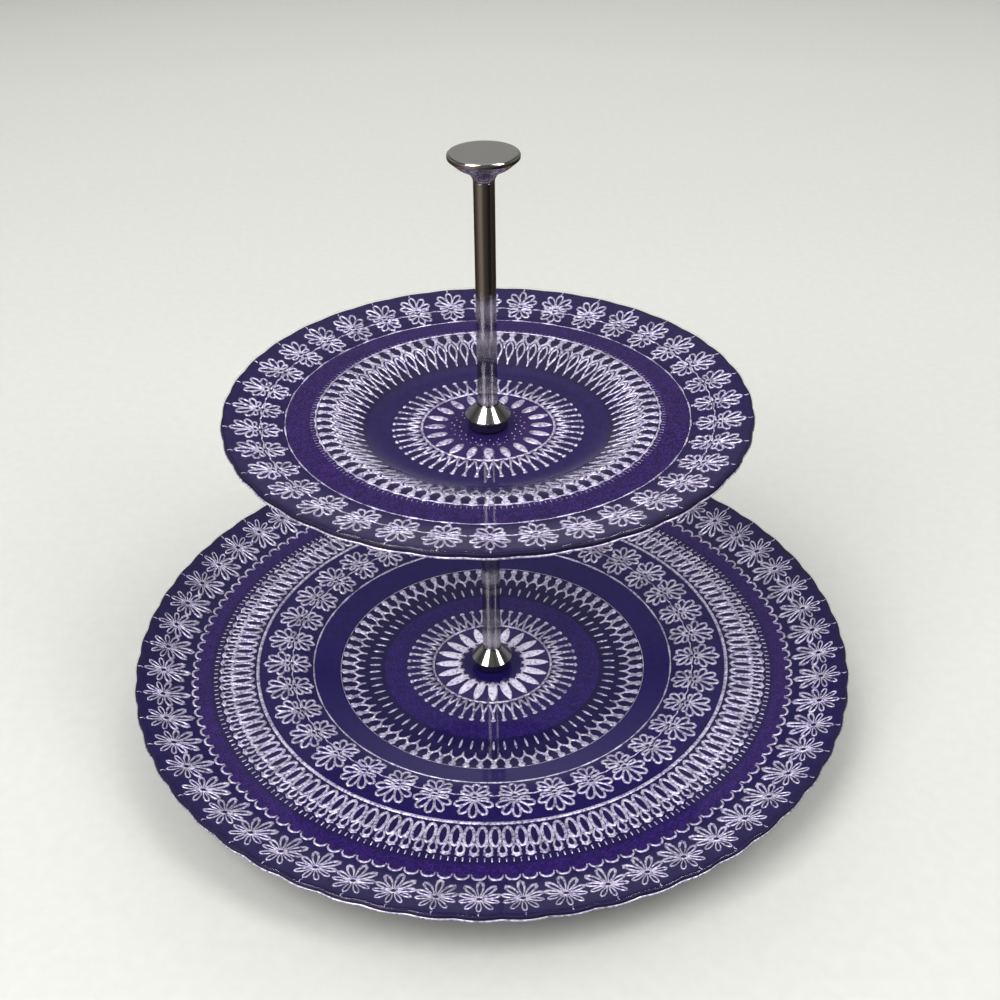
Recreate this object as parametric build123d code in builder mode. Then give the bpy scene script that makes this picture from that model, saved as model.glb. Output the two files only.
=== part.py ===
from build123d import *
import os

# Two tier glass cake stand, in millimetres.
# Origin: on the table, on the stem's axis. +Z is up, along the stem.
# Both plates are pressed glass dishes, clamped on one stem by M5 threads.

# Plates. Each outline is (radius, height above the dish's floor), corner by corner,
# and the radius of the arc that rounds each corner.
glass_thickness = 4.0
plate_hole_radius = 5.0
rim_rounding = 1.6
lower_corners = [(66.0, 0.0), (94.0, 9.6), (139.5, 10.3), (165.0, 19.7)]
lower_corner_arcs = [50.0, 50.0, 40.0]
upper_corners = [(49.0, 0.0), (66.5, 7.9), (88.0, 8.0), (110.8, 13.4)]
upper_corner_arcs = [20.0, 20.0, 40.0]

# Stem tubes and the parts that dress them
tube_radius = 4.2
tube_bore = 3.3
bell_radius = 9.6
bell_height = 5.9
bell_lip = 1.0
bell_shoulder = 0.5
tube_between_plates = 121.7
knob_thread_depth = 6.0
overall_height = 259.4

# Knob: a rounded top edge, then a trumpet outline of (radius, depth below the top)
# that runs from the edge down to the tube
knob_edge = 1.3
knob_outline = [(14.0, 2.0), (12.7, 3.4), (10.1, 5.6), (7.5, 7.0), (5.4, 8.6), (4.2, 11.3)]

# Threads are M5, drawn as plain cylinders at the major diameter
thread_radius = 2.5
thread_pitch = 0.8
thread_travel_turns = 10
running_fit = 0.05
bush_fit = 0.1
insert_length = 14.0
stud_in_handle = thread_pitch * thread_travel_turns
stud_in_column = 12.0
screw_in_column = thread_pitch * thread_travel_turns

# Washers, screw and feet
axial_gap = 0.1
washer_hole = 3.0
top_washer_radius = 8.4
top_washer_thickness = 4.3
under_washer_radius = 9.0
under_washer_thickness = 1.0
seat_washer_radius = 9.5
seat_washer_thickness = 1.2
seat_washer_rounding = 0.4
base_washer_radius = 8.0
base_washer_thickness = 0.8
base_washer_rounding = 0.3
screw_head_radius = 5.5
screw_head_height = 1.9
screw_head_rounding = 1.0
screw_tip_chamfer = 0.5
screw_socket_radius = 1.7
screw_socket_depth = 1.3
foot_height = 5.0
foot_radius = 6.0
foot_flat_radius = 4.0
foot_circle = 46.0
foot_count = 4

# Heights of the stack, from the table up
lower_under = foot_height
lower_floor = lower_under + glass_thickness
column_bottom = lower_floor + top_washer_thickness + axial_gap
column_top = column_bottom + tube_between_plates
seat_top = column_top + seat_washer_thickness
upper_under = seat_top + axial_gap + under_washer_thickness
upper_floor = upper_under + glass_thickness
upper_washer_top = upper_floor + axial_gap + top_washer_thickness
handle_bottom = upper_washer_top + axial_gap
neck_height = overall_height - knob_outline[-1][1]
base_washer_top = lower_under - under_washer_thickness - axial_gap
base_washer_bottom = base_washer_top - base_washer_thickness
screw_seat = base_washer_bottom - axial_gap
screw_bottom = screw_seat - screw_head_height

os.makedirs("parts", exist_ok=True)

# Pressed glass dishes of even thickness, each with a hole for the stem
plates = {
    "lower_plate": (lower_corners, lower_corner_arcs, lower_floor),
    "upper_plate": (upper_corners, upper_corner_arcs, upper_floor),
}
for label, (corners, arcs, floor) in plates.items():
    top_points = [(plate_hole_radius, floor)] + [(r, floor + h) for r, h in corners]
    under_points = [(r, z - glass_thickness) for r, z in top_points]
    with BuildPart() as plate:
        with BuildSketch(Plane.XZ):
            with BuildLine():
                FilletPolyline(*top_points, radius=arcs)
                FilletPolyline(*under_points, radius=arcs)
                Line(top_points[0], under_points[0])
                Line(top_points[-1], under_points[-1])
            make_face()
        revolve(axis=Axis.Z)
        rim = plate.edges().filter_by(GeomType.CIRCLE).group_by(SortBy.RADIUS)[-1]
        fillet(rim, radius=rim_rounding)
    plate.part.label = label
    export_step(plate.part, f"parts/{label}.step")

# Clear bumpers stuck under the lower plate's flat centre
with BuildPart() as feet:
    with PolarLocations(foot_circle, foot_count, start_angle=45):
        Cone(
            foot_flat_radius,
            foot_radius,
            foot_height,
            align=(Align.CENTER, Align.CENTER, Align.MIN),
        )
feet.part.label = "feet"
export_step(feet.part, "parts/feet.step")

# Plain turned rings: outer radius, hole radius, lowest and highest height.
# The sleeves fill the plates' holes, the soft washers lie against the glass,
# and the inserts are brass bushes pressed into the tubes' ends.
bush_bore = thread_radius + bush_fit
running_thread = thread_radius + running_fit
rings = {
    "lower_bush": (plate_hole_radius, bush_bore, lower_under, lower_floor),
    "upper_bush": (plate_hole_radius, bush_bore, upper_under, upper_floor),
    "lower_top_washer": (
        top_washer_radius,
        washer_hole,
        lower_floor,
        lower_floor + top_washer_thickness,
    ),
    "upper_top_washer": (
        top_washer_radius,
        washer_hole,
        upper_floor + axial_gap,
        upper_washer_top,
    ),
    "lower_under_washer": (
        under_washer_radius,
        washer_hole,
        lower_under - under_washer_thickness,
        lower_under,
    ),
    "upper_under_washer": (
        under_washer_radius,
        washer_hole,
        upper_under - under_washer_thickness,
        upper_under,
    ),
    "lower_tube": (tube_radius, tube_bore, column_bottom, column_top),
    "upper_tube": (tube_radius, tube_bore, handle_bottom, neck_height),
    "lower_tube_foot_insert": (
        tube_bore,
        running_thread,
        column_bottom,
        column_bottom + insert_length,
    ),
    "lower_tube_head_insert": (
        tube_bore,
        thread_radius,
        column_top - insert_length,
        column_top,
    ),
    "upper_tube_foot_insert": (
        tube_bore,
        running_thread,
        handle_bottom,
        handle_bottom + insert_length,
    ),
    "upper_tube_head_insert": (
        tube_bore,
        thread_radius,
        neck_height - insert_length,
        neck_height,
    ),
}
for label, (outer, hole, low, high) in rings.items():
    with BuildPart() as ring:
        with BuildSketch(Plane.XY.offset(low)):
            Circle(outer)
            Circle(hole, mode=Mode.SUBTRACT)
        extrude(amount=high - low)
    ring.part.label = label
    export_step(ring.part, f"parts/{label}.step")

# Studs: one links the two tubes through the upper plate, one holds the knob
studs = {
    "link_stud": (column_top - stud_in_column, handle_bottom + stud_in_handle),
    "knob_stud": (neck_height - insert_length, neck_height + knob_thread_depth),
}
for label, (low, high) in studs.items():
    with BuildPart() as stud:
        with BuildSketch(Plane.XY.offset(low)):
            Circle(thread_radius)
        extrude(amount=high - low)
    stud.part.label = label
    export_step(stud.part, f"parts/{label}.step")

# Flared bells on the tubes' feet, standing on the thick soft washers
bells = {"lower_bell": column_bottom, "upper_bell": handle_bottom}
for label, bell_bottom in bells.items():
    bell_top = bell_bottom + bell_height
    with BuildPart() as bell:
        with BuildSketch(Plane.XZ):
            with BuildLine():
                Polyline(
                    (tube_radius, bell_bottom),
                    (bell_radius, bell_bottom),
                    (bell_radius, bell_bottom + bell_lip),
                    (tube_radius + bell_shoulder, bell_top),
                    (tube_radius, bell_top),
                    close=True,
                )
            make_face()
        revolve(axis=Axis.Z)
    bell.part.label = label
    export_step(bell.part, f"parts/{label}.step")

# Metal seat that the upper plate rests on, at the top of the column
with BuildPart() as seat_washer:
    with BuildSketch(Plane.XY.offset(column_top)):
        Circle(seat_washer_radius)
        Circle(thread_radius, mode=Mode.SUBTRACT)
    extrude(amount=seat_washer_thickness)
    seat_rims = seat_washer.edges().filter_by(GeomType.CIRCLE).group_by(SortBy.RADIUS)[-1]
    fillet(seat_rims, radius=seat_washer_rounding)
seat_washer.part.label = "seat_washer"
export_step(seat_washer.part, "parts/seat_washer.step")

# Metal washer under the lower plate
with BuildPart() as base_washer:
    with BuildSketch(Plane.XY.offset(base_washer_bottom)):
        Circle(base_washer_radius)
        Circle(washer_hole, mode=Mode.SUBTRACT)
    extrude(amount=base_washer_thickness)
    washer_rims = base_washer.edges().filter_by(GeomType.CIRCLE).group_by(SortBy.RADIUS)[-1]
    fillet(washer_rims, radius=base_washer_rounding)
base_washer.part.label = "base_washer"
export_step(base_washer.part, "parts/base_washer.step")

# Socket head screw that clamps the lower plate to the column
with BuildPart() as base_screw:
    with BuildSketch(Plane.XY.offset(screw_bottom)):
        Circle(screw_head_radius)
    extrude(amount=screw_head_height)
    head_rim = base_screw.edges().filter_by(GeomType.CIRCLE).sort_by(Axis.Z)[0]
    fillet(head_rim, radius=screw_head_rounding)
    with BuildSketch(Plane.XY.offset(screw_seat)):
        Circle(thread_radius)
    extrude(amount=column_bottom + screw_in_column - screw_seat)
    tip = base_screw.edges().filter_by(GeomType.CIRCLE).sort_by(Axis.Z)[-1]
    chamfer(tip, length=screw_tip_chamfer)
    with BuildSketch(Plane.XY.offset(screw_bottom)):
        RegularPolygon(screw_socket_radius, 6)
    extrude(amount=screw_socket_depth, mode=Mode.SUBTRACT)
base_screw.part.label = "base_screw"
export_step(base_screw.part, "parts/base_screw.step")

# Knob: a flat top with a rounded edge, on a trumpet that narrows to the tube
knob_radius = knob_outline[0][0]
edge_centre_radius = knob_radius - knob_edge
trumpet = [(r, overall_height - depth) for r, depth in knob_outline]
with BuildPart() as knob:
    with BuildSketch(Plane.XZ):
        with BuildLine():
            Polyline(
                trumpet[-1],
                (0, neck_height),
                (0, overall_height),
                (edge_centre_radius, overall_height),
            )
            CenterArc((edge_centre_radius, overall_height - knob_edge), knob_edge, 0, 90)
            Line((knob_radius, overall_height - knob_edge), trumpet[0])
            Spline(*trumpet, tangents=[(0, -1), (0, -1)])
        make_face()
    revolve(axis=Axis.Z)
    with BuildSketch(Plane.XY.offset(neck_height)):
        Circle(thread_radius)
    extrude(amount=knob_thread_depth, mode=Mode.SUBTRACT)
knob.part.label = "knob"
export_step(knob.part, "parts/knob.step")
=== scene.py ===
import math

import bpy
import numpy as np
from mathutils import Matrix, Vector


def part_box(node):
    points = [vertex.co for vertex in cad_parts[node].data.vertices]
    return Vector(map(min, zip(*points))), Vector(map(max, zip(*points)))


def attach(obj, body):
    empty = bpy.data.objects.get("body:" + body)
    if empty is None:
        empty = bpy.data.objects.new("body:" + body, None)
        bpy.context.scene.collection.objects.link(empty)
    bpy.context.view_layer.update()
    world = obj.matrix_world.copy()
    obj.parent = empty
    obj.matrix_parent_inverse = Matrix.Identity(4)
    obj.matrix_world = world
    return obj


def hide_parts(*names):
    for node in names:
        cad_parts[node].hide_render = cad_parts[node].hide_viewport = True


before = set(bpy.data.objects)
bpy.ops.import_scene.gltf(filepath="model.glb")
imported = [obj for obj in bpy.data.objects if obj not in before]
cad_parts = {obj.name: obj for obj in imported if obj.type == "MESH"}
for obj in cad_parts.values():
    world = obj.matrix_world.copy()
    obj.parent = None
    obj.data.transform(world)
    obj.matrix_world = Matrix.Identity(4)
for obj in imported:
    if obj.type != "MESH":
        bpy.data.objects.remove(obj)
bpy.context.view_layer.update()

# Two glass dishes on a chrome stem. Lengths below are in mm unless a line says otherwise.
mm = 0.001
fullTurn = 2 * math.pi
print("frame loaded with", len(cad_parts), "CAD nodes")


def linear(hexColour):
    # sRGB hex to linear light: c / 12.92 below 0.04045, else ((c + 0.055) / 1.055) ^ 2.4
    shares = [int(hexColour[i:i + 2], 16) / 255 for i in (1, 3, 5)]
    return [c / 12.92 if c <= 0.04045 else ((c + 0.055) / 1.055) ** 2.4 for c in shares] + [1.0]


def addNode(tree, kind, inputs=None, **settings):
    # one node with its settings; an input is a number, a colour or another node's output
    added = tree.nodes.new(kind)
    for key, value in settings.items():
        setattr(added, key, value)
    for socket, value in (inputs or {}).items():
        if isinstance(value, bpy.types.NodeSocket):
            tree.links.new(value, added.inputs[socket])
        else:
            added.inputs[socket].default_value = value
    return added


def newMaterial(name):
    material = bpy.data.materials.new(name)
    material.use_nodes = True
    material.node_tree.nodes.clear()
    return material, material.node_tree


def setRamp(rampNode, stops, interpolation="LINEAR"):
    ramp = rampNode.color_ramp
    ramp.interpolation = interpolation
    for place, colour in stops[1:-1]:
        ramp.elements.new(place)
    for element, (place, colour) in zip(ramp.elements, stops):
        element.position = place
        element.color = linear(colour) if isinstance(colour, str) else (colour, colour, colour, 1)


def heightRange(node):
    low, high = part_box(node)
    return low.z / mm, high.z / mm


def makePiece(name, points, quads, triangles, body, slotName, material, stands=(), sharpAngle=None):
    # points in mm; the faces are turned over if the mesh's signed volume comes out negative
    quads = np.asarray(quads, int).reshape(-1, 4)
    triangles = np.asarray(triangles, int).reshape(-1, 3)
    halves = np.concatenate([triangles, quads[:, [0, 1, 2]], quads[:, [0, 2, 3]]])
    a, b, c = (points[halves[:, k]] for k in range(3))
    if np.einsum("ij,ij->i", a, np.cross(b, c)).sum() < 0:
        quads, triangles = quads[:, ::-1], triangles[:, ::-1]
    corners = np.concatenate([quads.ravel(), triangles.ravel()])
    starts = np.concatenate([np.arange(len(quads)) * 4, len(quads) * 4 + np.arange(len(triangles)) * 3])
    mesh = bpy.data.meshes.new(name)
    mesh.vertices.add(len(points))
    mesh.vertices.foreach_set("co", (np.asarray(points) * mm).astype(np.float32).ravel())
    mesh.loops.add(len(corners))
    mesh.loops.foreach_set("vertex_index", corners.astype(np.int32))
    mesh.polygons.add(len(starts))
    mesh.polygons.foreach_set("loop_start", starts.astype(np.int32))
    mesh.update(calc_edges=True)
    mesh.shade_smooth()
    if sharpAngle is not None:
        mesh.set_sharp_from_angle(angle=math.radians(sharpAngle))
    mesh.materials.append(material)
    piece = bpy.data.objects.new(name, mesh)
    bpy.context.scene.collection.objects.link(piece)
    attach(piece, body)
    if stands:
        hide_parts(*stands)
    return piece


def turned(profile, steps, reshape=None):
    # a profile of (radius, height) turned about Z: x = r sin a, y = -r cos a, closed all round.
    # A profile that starts and ends on the axis gets a pole at each end; any other is a closed loop.
    # reshape gives a new radius from radius, angle and height
    profile = np.asarray(profile, float)
    angles = np.arange(steps) * fullTurn / steps
    poled = profile[0, 0] < 1e-9 and profile[-1, 0] < 1e-9
    ring = profile[1:-1] if poled else profile
    radius = np.broadcast_to(ring[None, :, 0], (steps, len(ring)))
    if reshape is not None:
        radius = reshape(radius, angles[:, None], ring[None, :, 1])
    height = np.broadcast_to(ring[None, :, 1], radius.shape)
    points = np.stack([radius * np.sin(angles)[:, None], -radius * np.cos(angles)[:, None], height], -1)
    points = points.reshape(-1, 3)
    ids = np.arange(steps * len(ring)).reshape(steps, len(ring))
    across = np.roll(ids, -1, 0)
    if not poled:
        quads = np.stack([ids, across, np.roll(across, -1, 1), np.roll(ids, -1, 1)], -1)
        return points, quads.reshape(-1, 4), np.zeros((0, 3), int)
    quads = np.stack([ids[:, :-1], across[:, :-1], across[:, 1:], ids[:, 1:]], -1).reshape(-1, 4)
    poles = np.array([[0, 0, profile[0, 1]], [0, 0, profile[-1, 1]]])
    first, last = np.full(steps, len(points)), np.full(steps, len(points) + 1)
    fans = np.concatenate([np.stack([first, across[:, 0], ids[:, 0]], -1),
                           np.stack([last, ids[:, -1], across[:, -1]], -1)])
    return np.concatenate([points, poles]), quads, fans


def arc(middle, radius, start, end, steps=6):
    # points on a circle's part, angles in degrees from the radius axis
    angles = np.radians(np.linspace(start, end, steps))
    return np.stack([middle[0] + radius * np.cos(angles), middle[1] + radius * np.sin(angles)], -1)


def roundedRing(inner, outer, low, high, rounding):
    # a rectangle's section with all four corners turned to arcs
    r = rounding
    return np.concatenate([
        arc((outer - r, high - r), r, 90, 0, 5), arc((outer - r, low + r), r, 0, -90, 5),
        arc((inner + r, low + r), r, -90, -180, 5), arc((inner + r, high - r), r, 180, 90, 5)])


def roundedLine(corners, arcs):
    # straight runs joined by arcs tangent to both; each arc's middle lies on its corner's bisector
    corners = np.asarray(corners, float)
    line = [corners[:1]]
    for before, corner, after, radius in zip(corners, corners[1:], corners[2:], arcs):
        back = (before - corner) / np.linalg.norm(before - corner)
        on = (after - corner) / np.linalg.norm(after - corner)
        half = 0.5 * math.acos(float(back @ on))
        bisector = (back + on) / np.linalg.norm(back + on)
        middle = corner + bisector * radius / math.sin(half)
        first = corner + back * radius / math.tan(half) - middle
        last = corner + on * radius / math.tan(half) - middle
        share = np.linspace(0, 1, 12)[:, None]
        spoke = first * (1 - share) + last * share
        line.append(middle + spoke / np.linalg.norm(spoke, axis=1, keepdims=True) * radius)
    return np.concatenate(line + [corners[-1:]])


# plates: one shape shared by the glass, the paint and the raised ornament

glassThickness = 4.0
plateHole = 5.0
paintDepth = 0.85     # from the glass top to the painted ground
paintLift = 0.3       # from the glass underside up to the paint
paintInset = 0.25     # clear glass left around the paint at the rim

lowerShape = {
    "node": "lower_plate", "body": "base", "name": "lower",
    "corners": [(66.0, 0.0), (94.0, 9.6), (139.5, 10.3), (165.0, 19.7)],
    "arcs": [50.0, 50.0, 40.0],
    "scallops": 58, "scallopDepth": 0.8, "scallopPhase": math.radians(-2.4), "scallopWidth": 14.0,
    "runSteps": 62, "turnSteps": 696,
}
upperShape = {
    "node": "upper_plate", "body": "upper_tier", "name": "upper",
    "corners": [(49.0, 0.0), (66.5, 7.9), (88.0, 8.0), (110.8, 13.4)],
    "arcs": [20.0, 20.0, 40.0],
    "scallops": 36, "scallopDepth": 0.6, "scallopPhase": 0.0, "scallopWidth": 12.0,
    "runSteps": 50, "turnSteps": 576,
}
for shape in (lowerShape, upperShape):
    shape["floor"] = heightRange(shape["node"])[0] + glassThickness
    shape["line"] = roundedLine([(plateHole, 0.0)] + shape["corners"], shape["arcs"])
    shape["rim"] = shape["corners"][-1][0]


def topHeight(shape, radius):
    return shape["floor"] + np.interp(radius, shape["line"][:, 0], shape["line"][:, 1])


def scalloped(shape, radius, angle):
    # near the rim the radius dips by depth (1 - |cos(n a / 2)|), fading in over the last few mm
    share = np.clip((radius - shape["rim"] + shape["scallopWidth"]) / shape["scallopWidth"], 0, 1) ** 2
    bay = 1 - np.abs(np.cos(0.5 * shape["scallops"] * (angle - shape["scallopPhase"])))
    return radius - shape["scallopDepth"] * share * bay


def dishProfile(shape, topDrop, underLift, rimInset, holeInset, nose):
    # out along the top, round a squarish nose at the rim, and back along the underside
    outer = shape["rim"] - rimInset
    steps = shape["runSteps"]
    flatEnd = 50.0 * outer / lowerShape["rim"]
    radii = np.interp(np.linspace(0, 1, steps), [0, 0.3, 1], [plateHole + holeInset, flatEnd, outer - nose])
    top = np.stack([radii, topHeight(shape, radii) - topDrop], -1)
    under = np.stack([radii, topHeight(shape, radii) - glassThickness + underLift], -1)[::-1]
    swing = np.radians(np.linspace(90, -90, 13))[1:-1]
    middle = 0.5 * (top[-1, 1] + under[0, 1])
    half = 0.5 * (top[-1, 1] - under[0, 1])
    slope = (top[-1, 1] - top[-2, 1]) / (top[-1, 0] - top[-2, 0])
    reach = nose * np.abs(np.cos(swing)) ** 0.75
    cap = np.stack([outer - nose + reach, middle + half * np.sign(np.sin(swing)) * np.abs(np.sin(swing)) ** 0.75
                    + slope * reach], -1)
    return np.concatenate([top, cap, under])


reliefHeight = 0.42
sectionAcross = np.array([-0.5, -0.33, 0.33, 0.5])
sectionRise = np.array([-0.3, 1.0, 1.0, -0.3])
noTriangles = np.zeros((0, 3), int)


def raisedLine(line, widths, closed=False, rise=1.0):
    # a low ridge: at each point of the line, four section corners lie across it; narrow places are lower
    line = np.asarray(line, float)
    count = len(line)
    along = np.roll(line, -1, 0) - np.roll(line, 1, 0) if closed else np.gradient(line, axis=0)
    along /= np.linalg.norm(along, axis=1, keepdims=True)
    across = np.stack([-along[:, 1], along[:, 0]], -1)
    widths = np.broadcast_to(np.asarray(widths, float), (count,))
    flat = line[:, None, :] + across[:, None, :] * (sectionAcross[None, :, None] * widths[:, None, None])
    lift = reliefHeight * rise * sectionRise[None, :] * np.minimum(1, np.sqrt(widths / 0.8))[:, None]
    points = np.concatenate([flat, lift[..., None]], -1).reshape(-1, 3)
    ids = np.arange(count * 4).reshape(count, 4)
    here, there = (ids, np.roll(ids, -1, 0)) if closed else (ids[:-1], ids[1:])
    quads = np.stack([here, np.roll(here, -1, 1), np.roll(there, -1, 1), there], -1).reshape(-1, 4)
    if not closed:
        quads = np.concatenate([quads, ids[:1, ::-1], ids[-1:]])
    return points, quads, noTriangles


def raisedDome(outline, rise=1.0, shoulder=0.62):
    # an outline drawn up to a smaller ring and a crown point, and closed by a point beneath
    outline = np.asarray(outline, float)
    count = len(outline)
    middle = outline.mean(0)
    inner = middle + (outline - middle) * shoulder
    lift = reliefHeight * rise
    points = np.concatenate([
        np.c_[outline, np.full(count, -0.3 * lift)], np.c_[inner, np.full(count, 0.85 * lift)],
        [[*middle, lift]], [[*middle, -0.3 * lift]]])
    ids = np.arange(count)
    on = np.roll(ids, -1)
    quads = np.stack([ids, on, on + count, ids + count], -1)
    crown = np.stack([ids + count, on + count, np.full(count, 2 * count)], -1)
    base = np.stack([on, ids, np.full(count, 2 * count + 1)], -1)
    # outlines run either way round, so each is turned to run anticlockwise first
    area = (outline[:, 0] * np.roll(outline[:, 1], -1) - np.roll(outline[:, 0], -1) * outline[:, 1]).sum()
    if area < 0:
        quads, crown, base = quads[:, ::-1], crown[:, ::-1], base[:, ::-1]
    return points, quads, np.concatenate([crown, base])


def raisedHoop(radius, width, waves=0, ripple=0.0, widthRipple=0.0, steps=360, rise=1.0):
    # a whole ring: radius + ripple cos(waves a), width + widthRipple cos(waves a)
    angles = np.arange(steps) * fullTurn / steps
    beat = np.cos(waves * angles)
    middle = radius + ripple * beat
    widths = width + widthRipple * beat
    radii = middle[:, None] + sectionAcross[None, :] * widths[:, None]
    lift = reliefHeight * rise * sectionRise[None, :] * np.minimum(1, np.sqrt(widths / 0.8))[:, None]
    points = np.stack([angles[:, None] * radii, radii, lift], -1).reshape(-1, 3)
    ids = np.arange(steps * 4).reshape(steps, 4)
    there = np.roll(ids, -1, 0)
    quads = np.stack([ids, np.roll(ids, -1, 1), np.roll(there, -1, 1), there], -1).reshape(-1, 4)
    return points, quads[:, ::-1], noTriangles


def flipped(part):
    # the part mirrored across its own spoke, with its faces turned back to face out
    points, quads, triangles = part
    return points * [-1, 1, 1], quads[:, ::-1], triangles[:, ::-1]


def spread(shape, groups):
    # each group is (parts, count, phase): its parts are repeated round the plate.
    # x runs along the circle through a point's own radius, so the turn is phase + x / r
    allPoints, allQuads, allTriangles, base = [], [], [], 0
    for parts, count, phase in groups:
        sizes = np.cumsum([0] + [len(p[0]) for p in parts])
        points = np.concatenate([p[0] for p in parts])
        quads = np.concatenate([p[1] + s for p, s in zip(parts, sizes)])
        triangles = np.concatenate([p[2] + s for p, s in zip(parts, sizes)])
        turns = phase + np.arange(count) * fullTurn / count
        angle = turns[:, None] + (points[:, 0] / points[:, 1])[None]
        radius = np.broadcast_to(points[None, :, 1], angle.shape)
        height = topHeight(shape, radius) - paintDepth + points[None, :, 2]
        radius = scalloped(shape, radius, angle)
        placed = np.stack([radius * np.sin(angle), -radius * np.cos(angle), height], -1).reshape(-1, 3)
        hops = base + (np.arange(count) * len(points))[:, None, None]
        allPoints.append(placed)
        allQuads.append((quads[None] + hops).reshape(-1, 4))
        allTriangles.append((triangles[None] + hops).reshape(-1, 3))
        base += len(placed)
    return np.concatenate(allPoints), np.concatenate(allQuads), np.concatenate(allTriangles)


def petalLoop(middle, lean, start, length, width, thin, thick, steps=12, rise=1.0):
    # across = w/2 sin a sin(a/2) / 0.77, along = start + length (1 - cos a) / 2, turned by lean degrees
    a = np.arange(steps) * fullTurn / steps
    across = 0.5 * width * np.sin(a) * np.sin(a / 2) / 0.77
    share = (1 - np.cos(a)) / 2
    along = start + length * share
    lean = math.radians(lean)
    line = np.stack([middle[0] + along * math.sin(lean) + across * math.cos(lean),
                     middle[1] + along * math.cos(lean) - across * math.sin(lean)], -1)
    return raisedLine(line, thin + (thick - thin) * share ** 2, closed=True, rise=rise)


def leafOutline(middle, lean, length, width, steps=12, point=1.2, skew=1.0):
    # a lens: across = w/2 |sin a|^point, along = length (1 - cos a) / 2 with its widest place moved by skew
    a = np.arange(steps) * fullTurn / steps
    share = ((1 - np.cos(a)) / 2) ** skew
    across = 0.5 * width * np.sign(np.sin(a)) * np.abs(np.sin(a)) ** point
    lean = math.radians(lean)
    return np.stack([middle[0] + length * share * math.sin(lean) + across * math.cos(lean),
                     middle[1] + length * share * math.cos(lean) - across * math.sin(lean)], -1)


def oval(middle, acrossHalf, alongHalf, steps=10):
    a = np.arange(steps) * fullTurn / steps
    return np.stack([middle[0] + acrossHalf * np.cos(a), middle[1] + alongHalf * np.sin(a)], -1)


def bothSides(part):
    return [part, flipped(part)]


print("tools ready")


def reachFromStem(tree, place):
    # sqrt(x^2 + y^2), in metres
    parts = addNode(tree, "ShaderNodeSeparateXYZ", {"Vector": place})
    flat = addNode(tree, "ShaderNodeCombineXYZ", {"X": parts.outputs["X"], "Y": parts.outputs["Y"]})
    return addNode(tree, "ShaderNodeVectorMath", {0: flat.outputs["Vector"]}, operation="LENGTH")


# Silver: aluminium paint fired behind pressed glass ridges. Bright lilac white, with a fine broken sparkle,
# and thinner in places, so that it goes greyer over a few millimetres.
silverLook = {"light": "#f3eefd", "middle": "#c9bfe0", "dark": "#6e6294", "grain": 1.3, "fleck": 0.45, "wear": 9.0}


def firedSilver(name, look, metalShare, thinnest):
    # metalShare is how far it mirrors instead of glowing white, thinnest the tone where it is most worn
    material, tree = newMaterial(name)
    place = addNode(tree, "ShaderNodeTexCoord").outputs["Object"]
    grain = addNode(tree, "ShaderNodeTexNoise", {"Vector": place, "Scale": 1 / (look["grain"] * mm),
                                                 "Detail": 3.0, "Roughness": 0.6})
    tone = addNode(tree, "ShaderNodeValToRGB", {"Fac": grain.outputs["Fac"]})
    setRamp(tone, [(0.34, look["dark"]), (0.47, look["middle"]), (0.62, look["light"])])
    wear = addNode(tree, "ShaderNodeTexNoise", {"Vector": place, "Scale": 1 / (look["wear"] * mm), "Detail": 2.0})
    thin = addNode(tree, "ShaderNodeMapRange", {"Value": wear.outputs["Fac"], "From Min": 0.35, "From Max": 0.6,
                                                "To Min": thinnest, "To Max": 1.05})
    worn = addNode(tree, "ShaderNodeVectorMath", {0: tone.outputs["Color"], "Scale": thin.outputs["Result"]},
                   operation="SCALE")
    fleck = addNode(tree, "ShaderNodeTexNoise", {"Vector": place, "Scale": 1 / (look["fleck"] * mm), "Detail": 1.0})
    bump = addNode(tree, "ShaderNodeBump", {"Height": fleck.outputs["Fac"], "Strength": 0.4, "Distance": 0.1 * mm})
    shader = addNode(tree, "ShaderNodeBsdfPrincipled", {"Base Color": worn.outputs["Vector"], "Metallic": metalShare,
                                                        "Roughness": 0.36, "Normal": bump.outputs["Normal"]})
    addNode(tree, "ShaderNodeOutputMaterial", {"Surface": shader.outputs["BSDF"]})
    return material


silverPaint = firedSilver("firedSilverPaint", silverLook, 0.5, 0.68)
# A lighter, less mirroring copy of the silver for the lower plate's petals: painted light, making up for the shade
# the upper plate casts over the lower plate's middle.
litUpSilverPaint = firedSilver("firedSilverPaintLitUp", dict(silverLook, middle="#e2daf2", dark="#9a8fbc"), 0.12, 0.9)

# Colour: lacquer fired on the back of the glass, in rings. Deep indigo, violet where the ground is grained.
lowerRings = [(0.0, "#190f4e"), (13.0, "#292052"), (28.0, "#1d134a"), (41.3, "#17094b"), (51.5, "#110a3a"),
              (72.6, "#180e4c"), (84.3, "#170e44"), (109.6, "#1a123e"), (131.8, "#1c0b45"), (139.2, "#140b3e"),
              (162.0, "#160d34")]
upperRings = [(0.0, "#1f1246"), (13.0, "#271849"), (28.0, "#1c123e"), (41.3, "#1e1544"), (51.5, "#1a1236"),
              (72.6, "#1c0b3c"), (84.3, "#190f3c"), (108.8, "#130b2e")]
grainRings = {"lower": [(41.3, 51.5), (131.8, 139.2)], "upper": [(72.6, 84.3)]}


lacquerLook = {"grain": 0.9, "grainColour": "#331c62", "mottle": 2.5, "roughness": 0.45, "shine": 0.25}


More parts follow.
